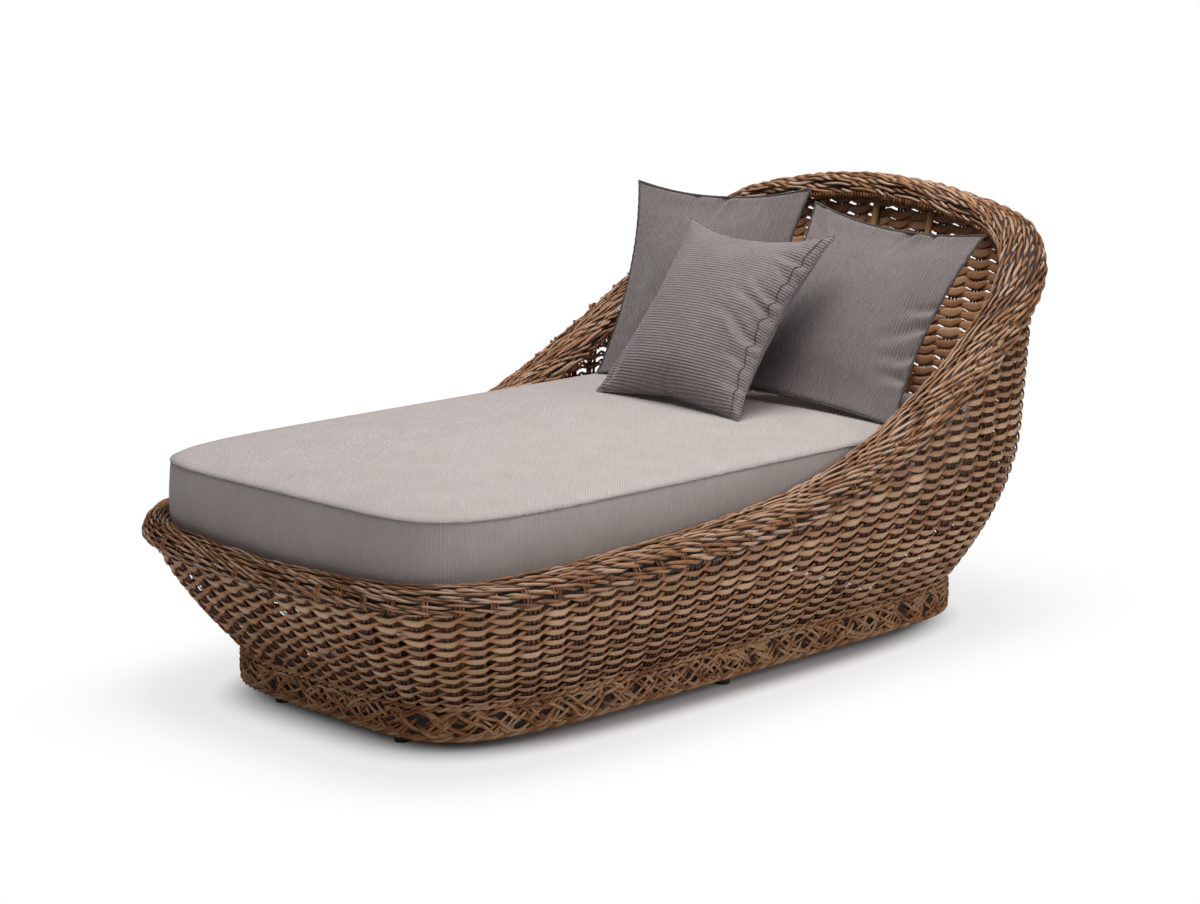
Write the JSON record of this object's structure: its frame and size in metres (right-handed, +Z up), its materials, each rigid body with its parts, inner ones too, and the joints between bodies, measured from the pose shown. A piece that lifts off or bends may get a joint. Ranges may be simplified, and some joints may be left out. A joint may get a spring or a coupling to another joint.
{
  "type": "rattan sun lounger",
  "caption": "Deep woven rattan sun lounger with a high curved back, a boxed mattress and loose scatter cushions that lift off.",
  "frame": {"origin": "on the floor under the middle of the overall plan: z = 0 is where the feet rest", "axes": "+Z up, +Y from the low foot end towards the high back, +X towards the right hand of a person lying with the head at the back, seen from above with +Y ahead"},
  "size_m": [1.12, 1.782, 0.9134],
  "materials": {
    "woven_rattan": "matte",
    "plaited_rattan": "matte",
    "rim_rattan": "matte",
    "rattan_pole": "satin",
    "slat_timber": "matte",
    "foot_timber": "satin",
    "mattress_cloth": "matte",
    "cushion_cloth": "matte",
    "cushion_cloth_light": "matte"
  },
  "bodies": {
    "frame": {"back_stay_centre": "rattan_pole", "back_stay_left": "rattan_pole", "back_stay_right": "rattan_pole", "base_hoop": "rattan_pole", "bottom_border": "plaited_rattan", "centre_post_foot": "rattan_pole", "centre_post_head": "rattan_pole", "centre_post_middle": "rattan_pole", "centre_rail": "slat_timber", "deck_slat_1": "slat_timber", "deck_slat_10": "slat_timber", "deck_slat_2": "slat_timber", "deck_slat_3": "slat_timber", "deck_slat_4": "slat_timber", "deck_slat_5": "slat_timber", "deck_slat_6": "slat_timber", "deck_slat_7": "slat_timber", "deck_slat_8": "slat_timber", "deck_slat_9": "slat_timber", "foot_left_foot_end": "foot_timber", "foot_left_head_end": "foot_timber", "foot_left_middle": "foot_timber", "foot_right_foot_end": "foot_timber", "foot_right_head_end": "foot_timber", "foot_right_middle": "foot_timber", "post_left_1": "rattan_pole", "post_left_2": "rattan_pole", "post_left_3": "rattan_pole", "post_left_4": "rattan_pole", "post_left_5": "rattan_pole", "post_left_6": "rattan_pole", "post_left_7": "rattan_pole", "post_right_1": "rattan_pole", "post_right_2": "rattan_pole", "post_right_3": "rattan_pole", "post_right_4": "rattan_pole", "post_right_5": "rattan_pole", "post_right_6": "rattan_pole", "post_right_7": "rattan_pole", "rim_pole": "rattan_pole", "rim_roll": "rim_rattan", "seat_hoop": "rattan_pole", "stretcher_foot": "slat_timber", "stretcher_head": "slat_timber", "stretcher_middle": "slat_timber", "woven_wall": "woven_rattan"},
    "mattress": {"mattress": "mattress_cloth"},
    "cushion_left": {"cushion_left": "cushion_cloth"},
    "cushion_right": {"cushion_right": "cushion_cloth"},
    "cushion_front": {"cushion_front": "cushion_cloth_light"}
  },
  "joints": [
    {"name": "mattress_lift", "type": "slide", "parent": "frame", "child": "mattress", "axis": [0, 0, 1], "range_m": [0, 0.65]},
    {"name": "cushion_left_lift", "type": "slide", "parent": "mattress", "child": "cushion_left", "axis": [0, 0.4, 0.9165], "range_m": [0, 0.56]},
    {"name": "cushion_right_lift", "type": "slide", "parent": "cushion_left", "child": "cushion_right", "axis": [0, 0.35, 0.9367], "range_m": [0, 0.5]},
    {"name": "cushion_front_lift", "type": "slide", "parent": "cushion_right", "child": "cushion_front", "axis": [0, -0.3, 0.9539], "range_m": [0, 0.5]}
  ]
}
